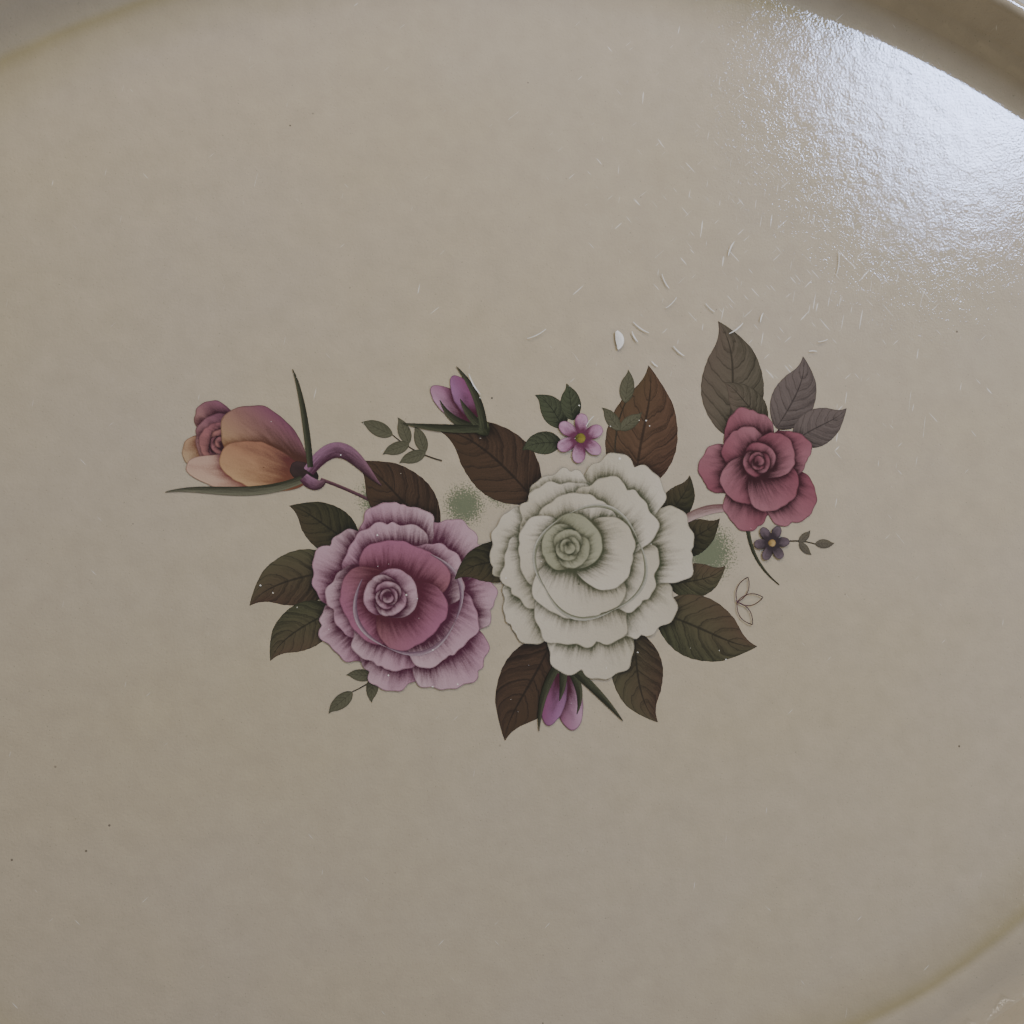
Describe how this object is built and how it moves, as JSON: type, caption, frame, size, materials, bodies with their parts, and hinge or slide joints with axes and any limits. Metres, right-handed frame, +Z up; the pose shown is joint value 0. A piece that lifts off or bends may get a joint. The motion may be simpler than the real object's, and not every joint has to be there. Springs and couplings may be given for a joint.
{
  "type": "folding tray table",
  "caption": "Folding table with an oval pressed metal tray, rolled rim and printed rose spray, on crossing tube legs with rubber feet.",
  "frame": {"origin": "on the floor under the middle of the tray, at the centre of the bounding box's base", "axes": "+X along the tray's length to the right, +Y to the hinge side at the back, +Z up"},
  "size_m": [0.572, 0.4218, 0.66],
  "materials": {
    "tray_enamel": "putty stoving enamel on pressed steel, slight orange peel",
    "leg_tube": "brass-toned lacquer over plated steel tube",
    "stretcher_rod": "brass-toned lacquer over steel rod",
    "foot_vinyl": "matt off-white vinyl",
    "spacer_nylon": "natural nylon",
    "knuckle_steel": "putty enamel over a rolled steel strap",
    "clip_steel": "zinc-plated spring steel strip",
    "rivet_steel": "bright zinc plate"
  },
  "bodies": {
    "outer_frame": {"outer_leg_frame": "leg_tube", "outer_stretcher": "stretcher_rod", "outer_foot_tip_left": "foot_vinyl", "outer_foot_tip_right": "foot_vinyl", "pivot_rivet_left": "rivet_steel", "pivot_rivet_right": "rivet_steel", "pivot_outer_washer_left": "rivet_steel", "pivot_outer_washer_right": "rivet_steel", "pivot_spacer_left": "spacer_nylon", "pivot_spacer_right": "spacer_nylon", "pivot_inner_washer_left": "rivet_steel", "pivot_inner_washer_right": "rivet_steel"},
    "inner_frame": {"inner_leg_frame": "leg_tube", "inner_stretcher": "stretcher_rod", "inner_foot_tip_left": "foot_vinyl", "inner_foot_tip_right": "foot_vinyl"},
    "tray": {"tray": "tray_enamel", "hinge_knuckle_left": "knuckle_steel", "hinge_knuckle_right": "knuckle_steel", "snap_clip_left": "clip_steel", "snap_clip_right": "clip_steel"}
  },
  "joints": [
    {"name": "legs_fold", "type": "hinge", "parent": "outer_frame", "child": "inner_frame", "pos_m": [0, 0, 0.35555], "axis": [-1, 0, 0], "range_deg": [0, 42]},
    {"name": "tray_tilt", "type": "hinge", "parent": "outer_frame", "child": "tray", "pos_m": [0, 0.1121, 0.62618], "axis": [-1, 0, 0], "range_deg": [0, 110], "deforming": ["snap_clip_left", "snap_clip_right"]}
  ]
}
